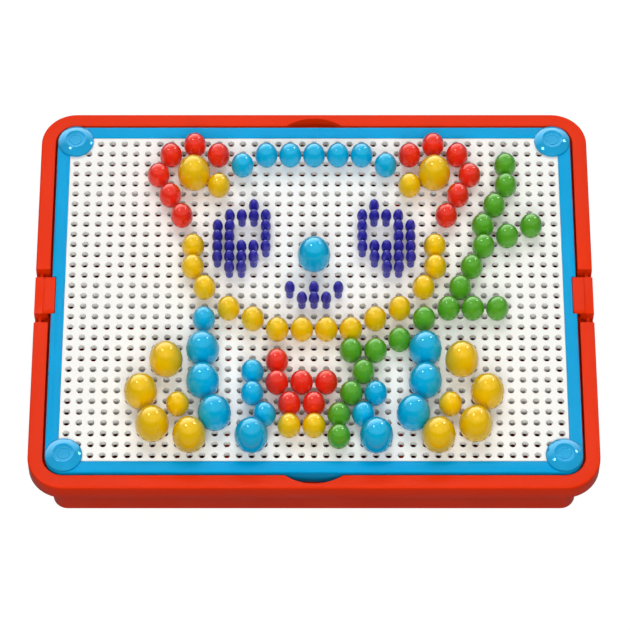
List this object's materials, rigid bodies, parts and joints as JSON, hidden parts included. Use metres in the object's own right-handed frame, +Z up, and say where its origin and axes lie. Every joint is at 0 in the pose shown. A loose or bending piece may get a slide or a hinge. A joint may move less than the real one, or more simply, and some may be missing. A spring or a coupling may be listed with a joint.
{
  "type": "peg mosaic board with storage case",
  "caption": "Toy peg mosaic: a perforated board in a frame closes a storage tray with two side latches; mushroom pegs in its holes make a bear holding a bamboo stick.",
  "frame": {"origin": "centre of the footprint, on the surface the tray stands on", "axes": "+X to the right along the board's long side, +Y towards the board's back edge, +Z up"},
  "size_m": [0.2764, 0.2162, 0.0618],
  "materials": {
    "case_red": "glossy injection moulding",
    "frame_blue": "glossy injection moulding",
    "board_white": "satin to glossy moulding",
    "peg_red": "high gloss",
    "peg_yellow": "high gloss",
    "peg_blue": "high gloss",
    "peg_green": "high gloss",
    "peg_indigo": "high gloss"
  },
  "bodies": {
    "case": {"case_tray": "case_red", "latch_pin_left": "case_red", "latch_pin_right": "case_red"},
    "board": {"board_frame": "frame_blue", "peg_board": "board_white", "button_front_left": "frame_blue", "button_front_right": "frame_blue", "button_back_left": "frame_blue", "button_back_right": "frame_blue"},
    "latch_left": {"latch_left": "case_red"},
    "latch_right": {"latch_right": "case_red"},
    "pegs_left_ear_edge": {"pegs_left_ear_edge": "peg_red"},
    "pegs_right_ear_edge": {"pegs_right_ear_edge": "peg_red"},
    "pegs_left_ear_centre": {"pegs_left_ear_centre": "peg_yellow"},
    "pegs_right_ear_centre": {"pegs_right_ear_centre": "peg_yellow"},
    "pegs_brow": {"pegs_brow": "peg_blue"},
    "pegs_left_eye": {"pegs_left_eye": "peg_indigo"},
    "pegs_right_eye": {"pegs_right_eye": "peg_indigo"},
    "peg_nose": {"peg_nose": "peg_blue"},
    "pegs_mouth": {"pegs_mouth": "peg_indigo"},
    "pegs_left_cheek": {"pegs_left_cheek": "peg_yellow"},
    "pegs_right_cheek": {"pegs_right_cheek": "peg_yellow"},
    "peg_left_shoulder": {"peg_left_shoulder": "peg_blue"},
    "pegs_left_arm": {"pegs_left_arm": "peg_blue"},
    "pegs_right_arm": {"pegs_right_arm": "peg_blue"},
    "pegs_left_paw": {"pegs_left_paw": "peg_yellow"},
    "pegs_right_paw": {"pegs_right_paw": "peg_yellow"},
    "pegs_bib_red": {"pegs_bib_red": "peg_red"},
    "pegs_bib_yellow": {"pegs_bib_yellow": "peg_yellow"},
    "pegs_vest_left": {"pegs_vest_left": "peg_blue"},
    "pegs_vest_right": {"pegs_vest_right": "peg_blue"},
    "pegs_stick_top": {"pegs_stick_top": "peg_green"},
    "pegs_stick_low": {"pegs_stick_low": "peg_green"},
    "pegs_leaf_high": {"pegs_leaf_high": "peg_green"},
    "pegs_leaf_low": {"pegs_leaf_low": "peg_green"}
  },
  "joints": [
    {"name": "board_lift", "type": "slide", "parent": "case", "child": "board", "axis": [0, 0, 1], "range_m": [0, 0.08]},
    {"name": "latch_left_swing", "type": "hinge", "parent": "case", "child": "latch_left", "pos_m": [-0.1354, 0, 0.0358], "axis": [0, -1, 0], "range_deg": [0, 95]},
    {"name": "latch_right_swing", "type": "hinge", "parent": "case", "child": "latch_right", "pos_m": [0.1354, 0, 0.0358], "axis": [0, 1, 0], "range_deg": [0, 95]},
    {"name": "pegs_left_ear_edge_pull", "type": "slide", "parent": "board", "child": "pegs_left_ear_edge", "axis": [0, 0, 1], "range_m": [0, 0.025]},
    {"name": "pegs_right_ear_edge_pull", "type": "slide", "parent": "board", "child": "pegs_right_ear_edge", "axis": [0, 0, 1], "range_m": [0, 0.025]},
    {"name": "pegs_left_ear_centre_pull", "type": "slide", "parent": "board", "child": "pegs_left_ear_centre", "axis": [0, 0, 1], "range_m": [0, 0.025]},
    {"name": "pegs_right_ear_centre_pull", "type": "slide", "parent": "board", "child": "pegs_right_ear_centre", "axis": [0, 0, 1], "range_m": [0, 0.025]},
    {"name": "pegs_brow_pull", "type": "slide", "parent": "board", "child": "pegs_brow", "axis": [0, 0, 1], "range_m": [0, 0.025]},
    {"name": "pegs_left_eye_pull", "type": "slide", "parent": "board", "child": "pegs_left_eye", "axis": [0, 0, 1], "range_m": [0, 0.025]},
    {"name": "pegs_right_eye_pull", "type": "slide", "parent": "board", "child": "pegs_right_eye", "axis": [0, 0, 1], "range_m": [0, 0.025]},
    {"name": "peg_nose_pull", "type": "slide", "parent": "board", "child": "peg_nose", "axis": [0, 0, 1], "range_m": [0, 0.025]},
    {"name": "pegs_mouth_pull", "type": "slide", "parent": "board", "child": "pegs_mouth", "axis": [0, 0, 1], "range_m": [0, 0.025]},
    {"name": "pegs_left_cheek_pull", "type": "slide", "parent": "board", "child": "pegs_left_cheek", "axis": [0, 0, 1], "range_m": [0, 0.025]},
    {"name": "pegs_right_cheek_pull", "type": "slide", "parent": "board", "child": "pegs_right_cheek", "axis": [0, 0, 1], "range_m": [0, 0.025]},
    {"name": "peg_left_shoulder_pull", "type": "slide", "parent": "board", "child": "peg_left_shoulder", "axis": [0, 0, 1], "range_m": [0, 0.025]},
    {"name": "pegs_left_arm_pull", "type": "slide", "parent": "board", "child": "pegs_left_arm", "axis": [0, 0, 1], "range_m": [0, 0.025]},
    {"name": "pegs_right_arm_pull", "type": "slide", "parent": "board", "child": "pegs_right_arm", "axis": [0, 0, 1], "range_m": [0, 0.025]},
    {"name": "pegs_left_paw_pull", "type": "slide", "parent": "board", "child": "pegs_left_paw", "axis": [0, 0, 1], "range_m": [0, 0.025]},
    {"name": "pegs_right_paw_pull", "type": "slide", "parent": "board", "child": "pegs_right_paw", "axis": [0, 0, 1], "range_m": [0, 0.025]},
    {"name": "pegs_bib_red_pull", "type": "slide", "parent": "board", "child": "pegs_bib_red", "axis": [0, 0, 1], "range_m": [0, 0.025]},
    {"name": "pegs_bib_yellow_pull", "type": "slide", "parent": "board", "child": "pegs_bib_yellow", "axis": [0, 0, 1], "range_m": [0, 0.025]},
    {"name": "pegs_vest_left_pull", "type": "slide", "parent": "board", "child": "pegs_vest_left", "axis": [0, 0, 1], "range_m": [0, 0.025]},
    {"name": "pegs_vest_right_pull", "type": "slide", "parent": "board", "child": "pegs_vest_right", "axis": [0, 0, 1], "range_m": [0, 0.025]},
    {"name": "pegs_stick_top_pull", "type": "slide", "parent": "board", "child": "pegs_stick_top", "axis": [0, 0, 1], "range_m": [0, 0.025]},
    {"name": "pegs_stick_low_pull", "type": "slide", "parent": "board", "child": "pegs_stick_low", "axis": [0, 0, 1], "range_m": [0, 0.025]},
    {"name": "pegs_leaf_high_pull", "type": "slide", "parent": "board", "child": "pegs_leaf_high", "axis": [0, 0, 1], "range_m": [0, 0.025]},
    {"name": "pegs_leaf_low_pull", "type": "slide", "parent": "board", "child": "pegs_leaf_low", "axis": [0, 0, 1], "range_m": [0, 0.025]}
  ]
}
